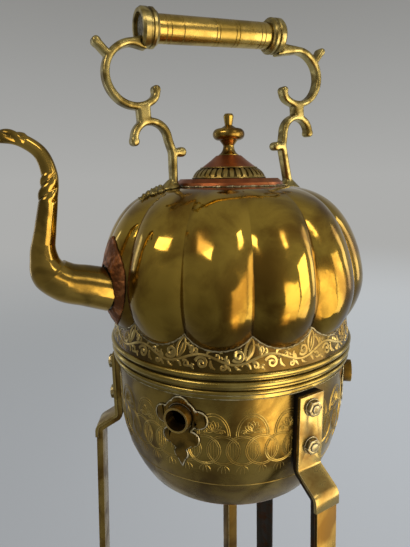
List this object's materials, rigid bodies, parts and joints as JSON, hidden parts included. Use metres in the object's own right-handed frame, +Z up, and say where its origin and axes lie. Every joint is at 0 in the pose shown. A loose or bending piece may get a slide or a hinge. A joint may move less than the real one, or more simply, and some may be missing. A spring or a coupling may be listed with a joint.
{
  "type": "spirit kettle on stand",
  "caption": "Lobed brass spirit kettle with a swan-neck spout, scroll handle and lift-off copper lid, on a three-legged fire-bowl stand that holds a spirit burner.",
  "frame": {"origin": "on the kettle's axis at floor level, in the plane of the feet", "axes": "+Z up; the spout points along -X; the handle lies in the XZ plane"},
  "size_m": [0.3471, 0.2986, 0.7395],
  "materials": {
    "bowl_brass": "aged polished brass with engraving",
    "rim_brass": "turned and polished brass",
    "port_brass": "aged cast brass",
    "leg_brass": "worn brass strip",
    "leg_iron": "blackened wrought iron",
    "post_metal": "dull brown brass",
    "bolt_steel": "old plated steel",
    "burner_brass": "plain brass",
    "wick_cotton": "braided cotton",
    "kettle_brass": "aged polished brass",
    "bottom_brass": "smoked brass",
    "copper": "aged red copper",
    "spout_brass": "aged polished brass",
    "handle_brass": "worn pale cast brass",
    "grip_brass": "polished turned brass",
    "grip_core": "bare wood, end grain",
    "lid_brass": "dark gadrooned brass",
    "finial_brass": "polished turned brass"
  },
  "bodies": {
    "stand": {"bowl_wall": "bowl_brass", "bowl_rim": "rim_brass", "bowl_pan": "bowl_brass", "port_tube_1": "port_brass", "port_tube_2": "port_brass", "port_tube_3": "port_brass", "port_plate_1": "port_brass", "port_plate_2": "port_brass", "port_plate_3": "port_brass", "leg_bar_1": "leg_iron", "leg_bar_2": "leg_iron", "leg_bar_3": "leg_iron", "leg_bracket_1": "leg_brass", "leg_bracket_2": "leg_brass", "leg_bracket_3": "leg_brass", "leg_strip_1": "leg_brass", "leg_strip_2": "leg_brass", "leg_strip_3": "leg_brass", "stretcher_1": "post_metal", "stretcher_2": "post_metal", "stretcher_3": "post_metal", "bracket_bolts": "bolt_steel", "bracket_washers": "bolt_steel", "bracket_nuts": "bolt_steel", "centre_post": "post_metal", "stretcher_hub": "post_metal", "stretcher_rivets": "bolt_steel"},
    "burner": {"burner_tank": "burner_brass", "burner_top": "burner_brass", "burner_wick_tube": "burner_brass", "burner_wick": "wick_cotton", "burner_filler_cap": "burner_brass"},
    "kettle": {"kettle_body": "kettle_brass", "kettle_flange": "rim_brass", "kettle_bottom": "bottom_brass", "mouth_ring": "copper", "spout": "spout_brass", "spout_flange": "copper", "handle_left": "handle_brass", "handle_right": "handle_brass", "grip_ring_left": "handle_brass", "grip_ring_right": "handle_brass", "grip_tube": "grip_brass", "grip_core": "grip_core"},
    "lid": {"lid_band": "lid_brass", "lid_cone": "copper", "lid_skirt": "lid_brass", "finial": "finial_brass", "finial_nut": "finial_brass"}
  },
  "joints": [
    {"name": "kettle_lift", "type": "slide", "parent": "stand", "child": "kettle", "axis": [0, 0, 1], "range_m": [0, 0.06]},
    {"name": "lid_lift", "type": "slide", "parent": "kettle", "child": "lid", "axis": [0, 0, 1], "range_m": [0, 0.03]},
    {"name": "burner_lift", "type": "slide", "parent": "stand", "child": "burner", "axis": [0, 0, 1], "range_m": [0, 0.065]}
  ]
}
